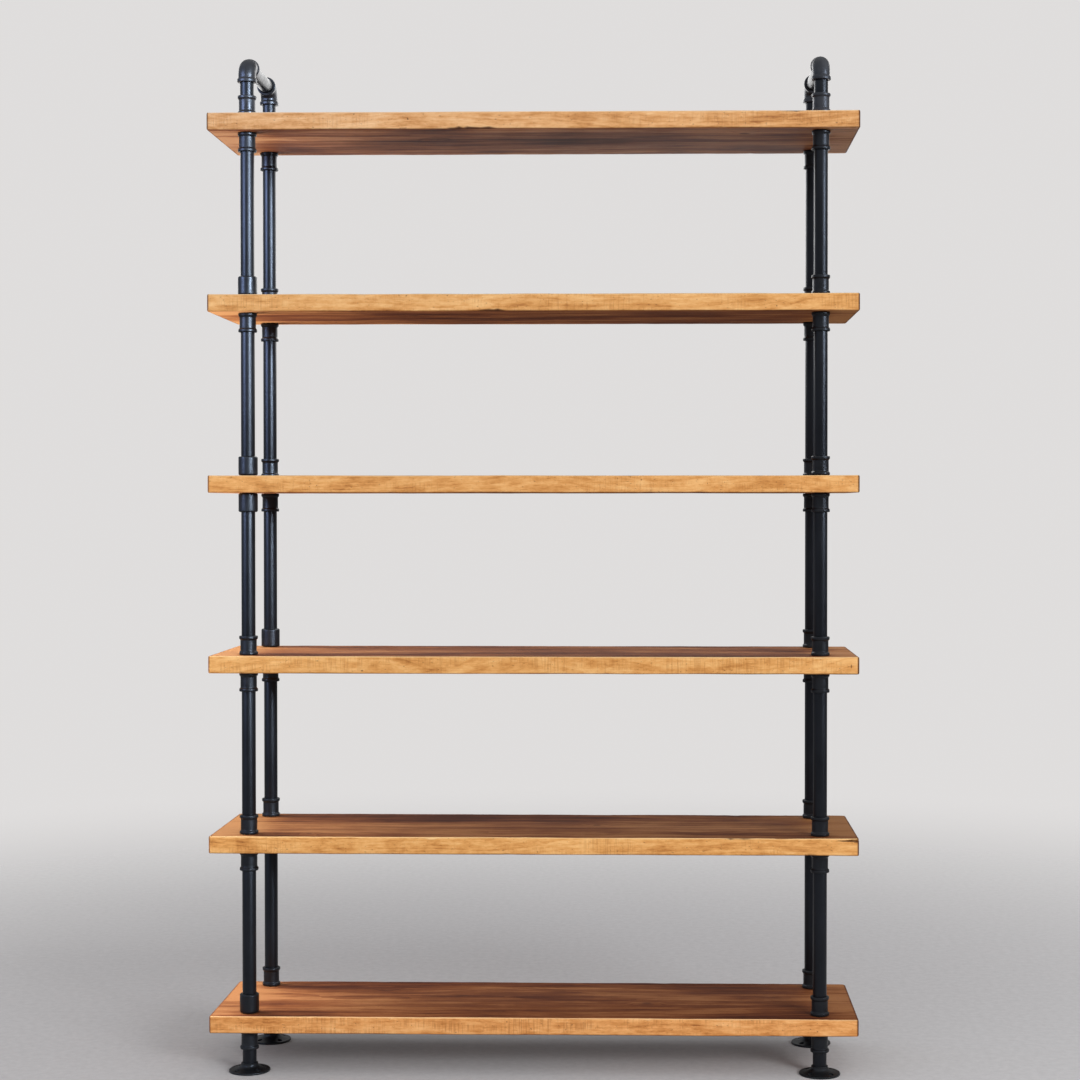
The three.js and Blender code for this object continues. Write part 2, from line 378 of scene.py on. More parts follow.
def with_wear_highlight_and_shade(nodes, wood, colour):
    """Stain gathered along the arrises and ends; the upper front arris painted pale, partly as wear and
    partly as a painted highlight where it faces up and forward into the light; and the nicks and the split
    painted near-black as painted shade.
    """
    arris = nodes.attribute("arris")
    near_end = nodes.step(wood.from_middle, SHELF_HALF_LENGTH - 5.5 * MM, SHELF_HALF_LENGTH - 2 * MM)
    stained = nodes.product(nodes.maths("MAXIMUM", nodes.product(arris, 0.7), near_end),
                            nodes.step(wood.blotch, 0.35, 0.62, 0.95, 0.6))
    colour = nodes.mix(stained, colour, ARRIS_COLOUR)
    # painted highlight: the upper front arris, facing forward and not down, is painted pale, partly as wear
    # and partly as the light it catches
    on_front = nodes.step(wood.normal[1], -0.25, -0.05, 1.0, 0.0)
    not_below = nodes.step(wood.normal[2], -0.1, 0.2)
    rubbed_and_lit = nodes.product(arris, on_front, not_below, nodes.maths("SUBTRACT", 1.0, near_end),
                           nodes.step(wood.streak, 0.3, 0.7, 1.0, 0.75))
    colour = nodes.mix(rubbed_and_lit, colour, RUBBED_AND_LIT_COLOUR)
    # painted shade: the nicks are painted near-black, as the shade inside them
    return nodes.mix(nodes.product(nodes.attribute("nick"), 0.85), colour, NICK_SHADE_COLOUR)


def wood_material(name, seed, plank):
    """Rough-sawn pine under a honey stain: streaky planed faces, paler sawn edges and dark end grain, all cut
    through the same rings. The planed faces are darker partly by stain and partly by painted shade."""
    material, nodes = new_material(name)
    wood = wood_patterns(nodes, seed, plank.heart, plank.knots)
    edge, kerf_mark = sawn_edge(nodes, wood, plank.saw_marks)
    colour = nodes.mix(wood.on_edge, planed_face(nodes, wood, plank.face_tone), edge)
    speck = nodes.step(nodes.grain(wood.own, (150.0, 300.0, 300.0)), 0.66, 0.72)
    colour = nodes.mix(nodes.product(speck, 0.55), colour, SPECK_COLOUR)
    colour = with_pin_knots(nodes, wood, colour, plank.pin_knots)
    colour = nodes.mix(nodes.maths("MULTIPLY", wood.knot, 0.8, clamp=True), colour, KNOT_COLOUR)
    colour = nodes.mix(wood.on_end, colour, end_grain(nodes, wood))
    colour = with_wear_highlight_and_shade(nodes, wood, colour)
    colour = nodes.mix(1.0, colour, plank.tone, "MULTIPLY")

    roughness = nodes.step(nodes.maths("ADD", wood.streak, wood.fibre), 0.7, 1.3, 0.66, 0.84)
    sawn = nodes.product(kerf_mark, wood.on_edge)
    relief = nodes.weighted(0.0, (wood.rings, 0.4), (wood.fibre, 0.6), (sawn, -1.0))
    finish_material(nodes, Base_Color=colour, Roughness=roughness,
                    Normal=nodes.bump(relief, 0.4 * MM, 0.8), Specular_IOR_Level=0.1)
    return material


# ---------- the painted metal ----------

PAINT_TINT = (0.80, 0.88, 1.0, 1.0)  # of the shine of the black paint
PIPE_COLOURS = ((0.0030, 0.0032, 0.0045), (0.0058, 0.0063, 0.0085))
DUST_COLOUR = (0.045, 0.045, 0.047)
CASTING_COLOURS = ((0.0050, 0.0052, 0.0062), (0.0090, 0.0093, 0.0106))
WORN_COLOUR = (0.05, 0.049, 0.048)


def pipe_material():
    """Smooth black paint on drawn steel tube, with faint streaks along it and a little dust in it."""
    material, nodes = new_material("black_pipe_paint")
    place = nodes.object_place()
    drawn = nodes.grain(place, (150.0, 150.0, 3.0), 1.0)
    patch = nodes.noise(place, 14.0, 3.0, 0.6)
    speck = nodes.step(nodes.noise(place, 700.0, 1.0), 0.70, 0.76)
    colour = nodes.ramp(patch, ((0.35, PIPE_COLOURS[0]), (0.65, PIPE_COLOURS[1])))
    colour = nodes.mix(nodes.product(speck, 0.12), colour, DUST_COLOUR)
    roughness = nodes.step(nodes.maths("ADD", drawn, patch), 0.8, 1.2, 0.36, 0.43)
    relief = nodes.bump(drawn, 0.002 * MM, 0.5)
    finish_material(nodes, Base_Color=colour, Roughness=roughness, Normal=relief, Specular_IOR_Level=0.3,
                    Specular_Tint=PAINT_TINT)
    return material


def casting_material(name, blackness):
    """Black paint over the grainy skin of a malleable iron casting, worn thin on the high spots. Where
    blackness is below 1 the paint is greyer, as painted light on the fittings high up, which get more light
    than those under the shelves."""
    material, nodes = new_material(name)
    place = nodes.object_place()
    grain = nodes.noise(place, 900.0, 3.0, 0.65)
    lump = nodes.noise(place, 120.0, 3.0)
    patch = nodes.noise(place, 30.0)
    dark, pale = (tuple(level / blackness for level in colour) for colour in CASTING_COLOURS)
    colour = nodes.ramp(patch, ((0.35, dark), (0.65, pale)))
    rim = nodes.step(nodes.add("ShaderNodeNewGeometry").outputs["Pointiness"], 0.53, 0.60)
    worn = nodes.product(rim, nodes.step(lump, 0.45, 0.65), 0.4)
    colour = nodes.mix(worn, colour, WORN_COLOUR)
    roughness = nodes.step(nodes.maths("ADD", grain, patch), 0.8, 1.25, 0.36, 0.50)
    relief = nodes.bump(nodes.weighted(0.0, (lump, 0.9), (grain, 0.35)), 0.15 * MM, 0.7)
    finish_material(nodes, Base_Color=colour, Roughness=roughness, Normal=relief, Specular_IOR_Level=0.34,
                    Specular_Tint=PAINT_TINT)
    return material


# ---------- meshes of revolution and sweeps ----------

ROUND_STEPS = 56
FILLET_STEPS = 4


def rounded(corners):
    """A closed outline of (radius, height) from corners given as (radius, height, fillet)."""
    points = []
    for index, (radius, height, fillet) in enumerate(corners):
        here = Vector((radius, height))
        before = Vector(corners[index - 1][:2]) - here
        after = Vector(corners[(index + 1) % len(corners)][:2]) - here
        if fillet == 0:
            points.append(here)
            continue
        start = here + before.normalized() * min(fillet, before.length * 0.49)
        end = here + after.normalized() * min(fillet, after.length * 0.49)
        for step in range(FILLET_STEPS + 1):
            share = step / FILLET_STEPS
            points.append(start.lerp(here, share).lerp(here.lerp(end, share), share))
    return [(point.x, point.y) for point in points]


def divided(outline, longest):
    """The same outline, with its long stretches cut so that none is over longest."""
    points = []
    for (radius, height), (next_radius, next_height) in zip(outline, outline[1:] + outline[:1]):
        parts = max(1, math.ceil(math.hypot(next_radius - radius, next_height - height) / longest))
        for part in range(parts):
            share = part / parts
            points.append((radius + (next_radius - radius) * share, height + (next_height - height) * share))
    return points


def straight_path(foot, direction=UP):
    def station(distance):
        return foot + direction * distance, direction
    return station


def swept(name, outline, path, material, relief=None, steps=ROUND_STEPS):
    """A closed ring-shaped solid. outline is a closed list of (radius, distance along the path), which runs
    forward on the outside and back in the bore. relief(angle, radius, distance) moves the skin outwards."""
    across = Vector((1, 0, 0))
    vertices = []
    for radius, distance in outline:
        centre, direction = path(distance)
        other = direction.cross(across)
        for step in range(steps):
            angle = step / steps * math.tau
            reach = radius + (relief(angle, radius, distance) if relief else 0.0)
            vertices.append(centre + (across * math.cos(angle) + other * math.sin(angle)) * reach)
    faces = []
    for ring in range(len(outline)):
        first, second = ring * steps, (ring + 1) % len(outline) * steps
        for step in range(steps):
            after = (step + 1) % steps
            faces.append((first + step, first + after, second + after, second + step))
    return add_mesh(name, vertices, faces, material)


def closed_stack(name, vertices, steps, material):
    """A solid from rings of steps vertices each, one beyond the other, with a flat face at each end."""
    rings = len(vertices) // steps
    faces = [tuple(reversed(range(steps))), tuple(range((rings - 1) * steps, rings * steps))]
    for ring in range(rings - 1):
        for step in range(steps):
            after = (step + 1) % steps
            low, high = ring * steps, (ring + 1) * steps
            faces.append((low + step, low + after, high + after, high + step))
    return add_mesh(name, vertices, faces, material)


SHARP_ANGLE = math.radians(38)


def add_mesh(name, vertices, faces, material):
    mesh = bpy.data.meshes.new(name)
    mesh.from_pydata(vertices, [], faces)
    mesh.validate()
    mesh.materials.append(material)
    piece = bpy.data.objects.new(name, mesh)
    bpy.context.scene.collection.objects.link(piece)
    shade(piece)
    return piece


def shade(piece):
    piece.data.shade_smooth()
    piece.data.set_sharp_from_angle(angle=SHARP_ANGLE)


def cut(piece, cutters):
    """piece with the closed meshes of cutters taken out of it. The cutters are used up."""
    for cutter in cutters:
        modifier = piece.modifiers.new("cut", "BOOLEAN")
        modifier.operation = "DIFFERENCE"
        modifier.solver = "EXACT"
        modifier.object = cutter
    graph = bpy.context.evaluated_depsgraph_get()
    mesh = bpy.data.meshes.new_from_object(piece.evaluated_get(graph))
    piece.modifiers.clear()
    piece.data = mesh
    for cutter in cutters:
        bpy.data.objects.remove(cutter)
    shade(piece)


PIECES = []  # all that stands for a node of the frame


def stands_for(piece, slot, *nodes):
    PIECES.append(piece)
    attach(piece, "root")
    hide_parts(*nodes)


# ---------- fittings ----------

FITTING_BORE_RADIUS = PIPE_RADIUS + 0.15 * MM
BEAD_HEIGHT = 5.6 * MM
BEAD_FILLET = 1.7 * MM
BODY_RADIUS = BEAD_RADIUS - 2.3 * MM
MOUTH_FILLET = 0.8 * MM
CAST_LUMP = 0.14 * MM
CAST_LUMP_LENGTH = 9 * MM
PARTING_RIDGE = 0.35 * MM
PARTING_HALF_ANGLE = 0.055


def cast_skin(seed, turn):
    """The uneven skin of a sand casting, with a parting ridge down each side, turned by an angle."""
    def relief(angle, radius, distance):
        if radius < FITTING_BORE_RADIUS + MM:
            return 0.0
        round_place = Vector((math.cos(angle), math.sin(angle), 0)) * radius
        place = (round_place + Vector((0, 0, distance))) / CAST_LUMP_LENGTH
        lump = noise.noise(place + Vector((seed * 5.3, seed * 7.1, 0))) * CAST_LUMP
        off_line = abs(math.remainder(angle - turn, math.pi))
        ridge = max(0.0, 1 - off_line / PARTING_HALF_ANGLE) * PARTING_RIDGE
        return lump + ridge - CAST_LUMP
    return relief


def socket_outline(is_plain):
    length = SOCKET_LENGTH
    if is_plain:
        chamfer = 2.2 * MM
        return rounded([
            (FITTING_BORE_RADIUS, 0, MOUTH_FILLET),
            (PLAIN_RADIUS - chamfer, 0, 0.6 * MM),
            (PLAIN_RADIUS, chamfer * 0.8, 1.2 * MM),
            (PLAIN_RADIUS, length - chamfer * 0.8, 1.2 * MM),
            (PLAIN_RADIUS - chamfer, length, 0.6 * MM),
            (FITTING_BORE_RADIUS, length, MOUTH_FILLET),
        ])
    neck = BEAD_HEIGHT + 1.6 * MM
    return rounded([
        (FITTING_BORE_RADIUS, 0, MOUTH_FILLET),
        (BEAD_RADIUS, 0, BEAD_FILLET),
        (BEAD_RADIUS, BEAD_HEIGHT, BEAD_FILLET),
        (BODY_RADIUS, neck, BEAD_FILLET),
        (BODY_RADIUS, length - neck, BEAD_FILLET),
        (BEAD_RADIUS, length - BEAD_HEIGHT, BEAD_FILLET),
        (BEAD_RADIUS, length, BEAD_FILLET),
        (FITTING_BORE_RADIUS, length, MOUTH_FILLET),
    ])


def add_socket(name, foot, is_plain, seed, material):
    outline = divided(socket_outline(is_plain), 3 * MM)
    return swept(name, outline, straight_path(foot), material, cast_skin(seed, seed * 1.7))


FLANGE_STEPS = 72
FLARE_STEPS = 16
FLARE_POWERS = (2.1, 1.35)  # how the plate sweeps up, in its radius and its height
FLANGE_RIM_HEIGHT = 4 * MM
FLANGE_RIM_WIDTH = 6 * MM
FLANGE_HUB_RADIUS = 16.5 * MM
SCREW_CIRCLE_RADIUS = 29 * MM
SCREW_RADIUS = 2.75 * MM
SCREW_HEAD_RADIUS = 5.25 * MM
SCREW_SINK_DEPTH = 2.5 * MM
SCREW_COUNT = 4
SCREW_STEPS = 28


def flange_outline():
    """A round plate that sweeps up in one hollow curve into the hub."""
    rim_inside = FLANGE_RADIUS - FLANGE_RIM_WIDTH
    rim = rounded([
        (FITTING_BORE_RADIUS, 0, MOUTH_FILLET),
        (FLANGE_RADIUS, 0, 0.6 * MM),
        (FLANGE_RADIUS, FLANGE_RIM_HEIGHT, 1.6 * MM),
        (rim_inside, FLANGE_RIM_HEIGHT, 0),
    ])
    flare = []
    flare_foot, flare_top = FLANGE_RIM_HEIGHT + 0.2 * MM, FLANGE_HEIGHT - 2 * MM
    inward, upward = FLARE_POWERS
    for step in range(1, FLARE_STEPS):
        share = step / FLARE_STEPS
        radius = FLANGE_HUB_RADIUS + (rim_inside - FLANGE_HUB_RADIUS) * (1 - share) ** inward
        flare.append((radius, flare_foot + (flare_top - flare_foot) * share ** upward))
    top = [
        (FLANGE_HUB_RADIUS, FLANGE_HEIGHT - 1 * MM),
        (FLANGE_HUB_RADIUS - 0.9 * MM, FLANGE_HEIGHT),
        (FITTING_BORE_RADIUS + 0.6 * MM, FLANGE_HEIGHT),
        (FITTING_BORE_RADIUS, FLANGE_HEIGHT - 0.6 * MM),
    ]
    return rim + flare + top


def screw_cutter(place):
    """The shape of a countersunk hole, standing through the plate."""
    outline = [(SCREW_RADIUS, -MM), (SCREW_RADIUS, FLANGE_RIM_HEIGHT - SCREW_SINK_DEPTH),
               (SCREW_HEAD_RADIUS, FLANGE_RIM_HEIGHT), (SCREW_HEAD_RADIUS, FLANGE_HEIGHT)]
    vertices = []
    for radius, height in outline:
        for step in range(SCREW_STEPS):
            angle = step / SCREW_STEPS * math.tau
            vertices.append(place + Vector((math.cos(angle) * radius, math.sin(angle) * radius, height)))
    return closed_stack("screw_cutter", vertices, SCREW_STEPS, CASTING)


def add_flange(upright, seed):
    foot = upright_axis(upright)
    outline = divided(flange_outline(), 3 * MM)
    flange = swept(f"{upright}_flange_casting", outline, straight_path(foot), CASTING,
                   cast_skin(seed, seed * 1.1), FLANGE_STEPS)
    cutters = []
    for index in range(SCREW_COUNT):
        angle = (index + 0.5) / SCREW_COUNT * math.tau
        offset = Vector((math.cos(angle), math.sin(angle), 0)) * SCREW_CIRCLE_RADIUS
        cutters.append(screw_cutter(foot + offset))
    cut(flange, cutters)
    return flange


BEND_RADIUS = 22 * MM
ELBOW_BEAD_HEIGHT = 6.5 * MM
ELBOW_ENTRY = THREAD_DEPTH - 3 * MM  # a pipe's end stops short of the elbow's inner shoulder
ELBOW_BODY_RADIUS = ELBOW_BEAD_RADIUS - 1.7 * MM


def elbow_path(centre, towards):
    """Up from the lower mouth, round a quarter bend and out along Y, to the side that towards gives."""
    straight = ELBOW_REACH - BEND_RADIUS
    bend = BEND_RADIUS * math.pi / 2
    level = Vector((0, towards, 0))
    hub = centre + (level - UP) * BEND_RADIUS

    def station(distance):
        if distance <= straight:
            return centre + UP * (distance - ELBOW_REACH), UP
        if distance >= straight + bend:
            return centre + level * (BEND_RADIUS + distance - straight - bend), level
        angle = (distance - straight) / BEND_RADIUS
        outward = UP * math.sin(angle) - level * math.cos(angle)
        return hub + outward * BEND_RADIUS, UP * math.cos(angle) + level * math.sin(angle)
    return station, 2 * straight + bend


def elbow_outline(length):
    neck = ELBOW_BEAD_HEIGHT + 1.8 * MM
    throat = THREAD_DEPTH + 1 * MM
    return rounded([
        (FITTING_BORE_RADIUS, 0, MOUTH_FILLET),
        (ELBOW_BEAD_RADIUS, 0, BEAD_FILLET),
        (ELBOW_BEAD_RADIUS, ELBOW_BEAD_HEIGHT, BEAD_FILLET),
        (ELBOW_BODY_RADIUS - 0.5 * MM, neck, BEAD_FILLET),
        (ELBOW_BODY_RADIUS, length / 2, 0),
        (ELBOW_BODY_RADIUS - 0.5 * MM, length - neck, BEAD_FILLET),
        (ELBOW_BEAD_RADIUS, length - ELBOW_BEAD_HEIGHT, BEAD_FILLET),
        (ELBOW_BEAD_RADIUS, length, BEAD_FILLET),
        (FITTING_BORE_RADIUS, length, MOUTH_FILLET),
        (FITTING_BORE_RADIUS, length - throat, 0),
        (PIPE_BORE_RADIUS, length - throat - MM, 0),
        (PIPE_BORE_RADIUS, throat + MM, 0),
        (FITTING_BORE_RADIUS, throat, 0),
    ])


def add_elbow(upright, seed):
    centre = upright_axis(upright) + Vector((0, 0, ELBOW_HEIGHT))
    path, length = elbow_path(centre, -math.copysign(1, centre.y))
    # painted light: the elbows take the greyer paint of the fittings high up
    return swept(f"{upright}_elbow_casting", divided(elbow_outline(length), 2.5 * MM), path, LIT_TOP_CASTING,
                 cast_skin(seed, math.pi / 2))


# ---------- pipes ----------

CUT_EDGE = 0.6 * MM


def pipe_outline(length):
    return rounded([
        (PIPE_BORE_RADIUS, 0, CUT_EDGE),
        (PIPE_RADIUS, 0, CUT_EDGE),
        (PIPE_RADIUS, length, CUT_EDGE),
        (PIPE_BORE_RADIUS, length, CUT_EDGE),
    ])


def add_pipe(name, foot, length, direction=UP):
    return swept(name, pipe_outline(length), straight_path(foot, direction), PAINT)


# ---------- planks ----------

PLANK_STATIONS = 150
FACE_COLUMNS = 22
EDGE_ROWS = 6
ARRIS_STEPS = 4
ARRIS_RADIUS = 3.0 * MM
ARRIS_WANDER = 1.3 * MM
BRUISE_SIZE = 9 * MM
BRUISE_THRESHOLD = 0.42  # of the noise that bruises stand out of
BEND_DEPTH = 0.8 * MM
RIPPLE_DEPTH = 0.35 * MM
SAW_RIDGE_DEPTH = 0.2 * MM
REAR_CORNER_RADIUS = 10 * MM  # seen from above
FRONT_CORNER_RADIUS = 4 * MM
END_STATIONS = (0.0, 0.25 * MM, 0.8 * MM, 1.7 * MM, 3 * MM, 4.5 * MM, 6.5 * MM)  # from each end
HOLE_RADIUS = PIPE_RADIUS + 1 * MM
HOLE_STEPS = 40

# the arrises of a plank, as (side in Y, level in Z)
LOWER_FRONT, LOWER_REAR, UPPER_REAR, UPPER_FRONT = range(4)
CORNERS = ((-1, -1), (1, -1), (1, 1), (-1, 1))


def nick_depth(x, corner, nicks):
    """How deep the nicks of one arris are at x, each given as (corner, x, half length, depth)."""
    depth = 0.0
    for nick_corner, nick_x, half_length, full_depth in nicks:
        if nick_corner == corner:
            share = max(0.0, 1 - abs(x - nick_x) / half_length)
            chip = abs(noise.noise(Vector((x * 130, corner, nick_x)))) * 1.6
            depth = max(depth, full_depth * min(1.0, 2.5 * share) * (0.25 + chip))
    return depth


def arris_radius(x, corner, seed):
    """How far the edge is rounded at x: it wanders, and here and there it is bruised."""
    wander = noise.noise(Vector((x * 7, corner * 9.1, seed * 3.3)))
    bruise = noise.noise(Vector((x * 38, corner * 5.7, seed * 8.9)))
    return ARRIS_RADIUS + ARRIS_WANDER * wander + max(0.0, bruise - BRUISE_THRESHOLD) * BRUISE_SIZE


def rounding(from_end, radius):
    """How far a rounded corner draws in, at a distance from the end that it rounds."""
    short = max(0.0, radius - from_end)
    return radius - math.sqrt(radius ** 2 - short ** 2)


def section(front, rear, half_thickness, radii, nicks):
    """One cross-section of a plank, anticlockwise seen along -X, as (y, z, arris, nick)."""
    points = []
    sides = {-1: -front, 1: rear}
    for index, (side, level) in enumerate(CORNERS):
        radius = radii[index]
        middle = (sides[side] - side * radius, level * (half_thickness - radius))
        start = math.atan2(level, side) - math.pi / 4
        for step in range(ARRIS_STEPS + 1):
            angle = start + step / ARRIS_STEPS * math.pi / 2
            arris = 1 - abs(2 * step / ARRIS_STEPS - 1)
            points.append((middle[0] + radius * math.cos(angle), middle[1] + radius * math.sin(angle),
                           arris, min(1.0, nicks[index] * arris / MM)))
        next_side, next_level = CORNERS[(index + 1) % len(CORNERS)]
        next_radius = radii[(index + 1) % len(CORNERS)]
        last = points[-1]
        if next_side == side:
            count, target = EDGE_ROWS, (last[0], next_level * (half_thickness - next_radius))
        else:
            count, target = FACE_COLUMNS, (sides[next_side] - next_side * next_radius, last[1])
        for step in range(1, count):
            share = step / count
            y = last[0] + (target[0] - last[0]) * share
            z = last[1] + (target[1] - last[1]) * share
            points.append((y, z, 0.0, 0.0))
    return points


def unevenness(x, y, z, seed):
    """How far a plank's skin lies inside its nominal face: by slow bends, and by saw ridges on its edges."""
    bend = abs(noise.noise(Vector((x * 5, seed * 4.1, round(z * 40))))) * BEND_DEPTH
    ripple = abs(noise.noise(Vector((x * 24, y * 24, seed * 2.7)))) * RIPPLE_DEPTH
    ridge = abs(noise.noise(Vector((x * 160, z * 40, seed)))) * SAW_RIDGE_DEPTH
    return bend + ripple, ridge


def plank_stations(half_length):
    inner = half_length - END_STATIONS[-1]
    places = [-half_length + from_end for from_end in END_STATIONS]
    places += [inner * (2 * step / PLANK_STATIONS - 1) for step in range(1, PLANK_STATIONS)]
    return places + [half_length - from_end for from_end in reversed(END_STATIONS)]


def plank_skin(half, seed, nicks):
    """Rings of points along a plank centred on the origin, with their arris and nick shares."""
    vertices, arris, nicked = [], [], []
    for x in plank_stations(half.x):
        from_end = half.x - abs(x)
        end_inset = rounding(from_end, ARRIS_RADIUS)
        front = half.y - end_inset - rounding(from_end, FRONT_CORNER_RADIUS)
        rear = half.y - end_inset - rounding(from_end, REAR_CORNER_RADIUS)
        depths = [nick_depth(x, corner, nicks) for corner in range(len(CORNERS))]
        radii = [arris_radius(x, corner, seed) + depth for corner, depth in enumerate(depths)]
        for y, z, on_arris, in_nick in section(front, rear, half.z - end_inset, radii, depths):
            slack, ridge = unevenness(x, y, z, seed)
            if y > rear - MM or y < MM - front:
                y -= math.copysign(slack + ridge, y)
            if abs(z) > half.z - end_inset - MM:
                z -= math.copysign(slack, z)
            vertices.append(Vector((x, y, z)))
            arris.append(on_arris)
            nicked.append(in_nick)
    return vertices, arris, nicked


def add_plank(level, plank):
    node = f"shelf_{level}"
    middle, size = centre_of(node), size_of(node)
    half = size / 2
    material = wood_material(f"stained_pine_{level}", level, plank)
    vertices, arris, nicked = plank_skin(half, level * 1.37, plank.nicks)
    ring_size = len(vertices) // len(plank_stations(half.x))
    piece = closed_stack(f"plank_{level}", vertices, ring_size, material)
    set_attribute(piece, "arris", arris)
    set_attribute(piece, "nick", nicked)
    piece.location = middle
    bpy.context.view_layer.update()
    cutters = [hole_cutter(upright_axis(upright), middle.z, size.z) for upright in UPRIGHTS]
    cutters += [split_cutter(middle, half, *split) for split in plank.splits]
    cut(piece, cutters)
    stands_for(piece, "stained_pine", node)


def set_attribute(piece, name, values):
    piece.data.attributes.new(name, "FLOAT", "POINT").data.foreach_set("value", values)


SPLIT_STEPS = 9


def split_cutter(middle, half, side, height, length, opening, depth):
    """A thin crooked wedge that opens the front edge from one end, side -1 or 1, tapering inwards."""
    vertices = []
    for step in range(SPLIT_STEPS + 1):
        share = step / SPLIT_STEPS
        x = half.x - length + (length + 2 * MM) * share
        z = height + noise.noise(Vector((x * 90, height * 300, 0))) * 1.2 * MM
        half_gap = opening / 2 * (0.04 + 0.96 * share)
        inmost = depth * (0.2 + 0.8 * share)
        tip = half_gap * 0.3
        for y, rise in ((-MM, -half_gap), (inmost, -tip), (inmost, tip), (-MM, half_gap)):
            vertices.append(middle + Vector((side * x, y - half.y, z + rise)))
    if side < 0:
        vertices = [vertices[index ^ 3] for index in range(len(vertices))]
    cutter = closed_stack("split_cutter", vertices, 4, CASTING)
    # painted shade: the faces that this cut opens in the plank are marked to be painted near-black
    set_attribute(cutter, "nick", [1.0] * len(vertices))
    return cutter


def hole_cutter(axis, middle_height, thickness):
    vertices = []
    for level in (-1, 1):
        for step in range(HOLE_STEPS):
            angle = step / HOLE_STEPS * math.tau
            offset = Vector((math.cos(angle) * HOLE_RADIUS, math.sin(angle) * HOLE_RADIUS, level * thickness))
            vertices.append(axis + offset + Vector((0, 0, middle_height)))
    return closed_stack("hole_cutter", vertices, HOLE_STEPS, CASTING)


# ---------- the object ----------

def upper_socket_foot(level):
    return shelf_top(level) + SEAT_GAP


def lower_socket_foot(level):
    return shelf_underside(level) - SEAT_GAP - SOCKET_LENGTH


def build_upright(upright, order):
    axis = upright_axis(upright)
    elbow_mouth = ELBOW_HEIGHT - ELBOW_REACH

    def at(height):
        return axis + UP * height

    def pipe(name, low, high, *nodes):
        stands_for(add_pipe(f"{upright}_{name}", at(low), high - low), "black_pipe", *nodes)

    def socket(name, foot, is_plain, seed, *nodes):
        # painted light: the sockets above the top shelf take the greyer paint, as they get more light
        material = LIT_TOP_CASTING if foot > shelf_top(TOP_LEVEL) else CASTING
        piece = add_socket(f"{upright}_{name}", at(foot), is_plain, seed, material)
        stands_for(piece, "malleable_iron", *nodes)

    def node_below(level):
        return f"{upright}_foot_post" if level == 1 else f"{upright}_pipe_{level - 1}"

    stands_for(add_flange(upright, order + 0.3), "malleable_iron", f"{upright}_floor_flange")
    stub_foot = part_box(f"{upright}_foot_post")[0].z
    pipe("foot_stub", stub_foot, lower_socket_foot(1) + THREAD_DEPTH, f"{upright}_foot_post")

    for level in range(1, TOP_LEVEL + 1):
        seed = order * 13.7 + level  # no two castings have the same skin
        socket(f"under_socket_{level}", lower_socket_foot(level), (upright, level) in PLAIN_LOWER_SOCKETS,
               seed, node_below(level))
        nipple_foot = lower_socket_foot(level) + SOCKET_LENGTH - THREAD_DEPTH
        pipe(f"nipple_{level}", nipple_foot, upper_socket_foot(level) + THREAD_DEPTH, node_below(level))
        if level == 1:
            carrier = f"{upright}_pipe_1"
        elif level == TOP_LEVEL:
            carrier = f"{upright}_top_post"
        else:
            carrier = f"{upright}_socket_{level}"
        socket(f"upper_socket_{level}", upper_socket_foot(level), (upright, level) in PLAIN_UPPER_SOCKETS,
               seed + 0.5, carrier)
        pipe_foot = upper_socket_foot(level) + SOCKET_LENGTH - THREAD_DEPTH
        if level < TOP_LEVEL:
            pipe(f"long_pipe_{level}", pipe_foot, lower_socket_foot(level + 1) + THREAD_DEPTH,
                 f"{upright}_pipe_{level}")
        else:
            pipe("top_stub", pipe_foot, elbow_mouth + ELBOW_ENTRY, f"{upright}_top_post")
    stands_for(add_elbow(upright, order + 0.7), "malleable_iron", f"{upright}_elbow")


def build_cross_rail(side):
    low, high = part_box(f"{side}_cross_pipe")
    held_back = THREAD_DEPTH - ELBOW_ENTRY
    foot = Vector(((low.x + high.x) / 2, low.y + held_back, ELBOW_HEIGHT))
    rail = add_pipe(f"{side}_cross_rail", foot, high.y - low.y - 2 * held_back, Vector((0, 1, 0)))
    stands_for(rail, "black_pipe", f"{side}_cross_pipe")


class Plank(NamedTuple):
    """How one plank differs from the others. Places are measured from its own middle."""
    heart: tuple  # (y, z) of the line that its rings run round
    knots: tuple  # (x, lean, radius) of branches from the heart
    tone: tuple  # a tint of the whole plank
    saw_marks: float  # how strongly the band-saw marks show
    face_tone: float = 1.0  # a tint of the planed faces
    pin_knots: tuple = ()  # (x, z, half width, half height) of dark spots on the edges
    nicks: tuple = ()  # (arris, x, half length, depth)
    splits: tuple = ()  # (end as -1 or 1, height, length, opening, depth)


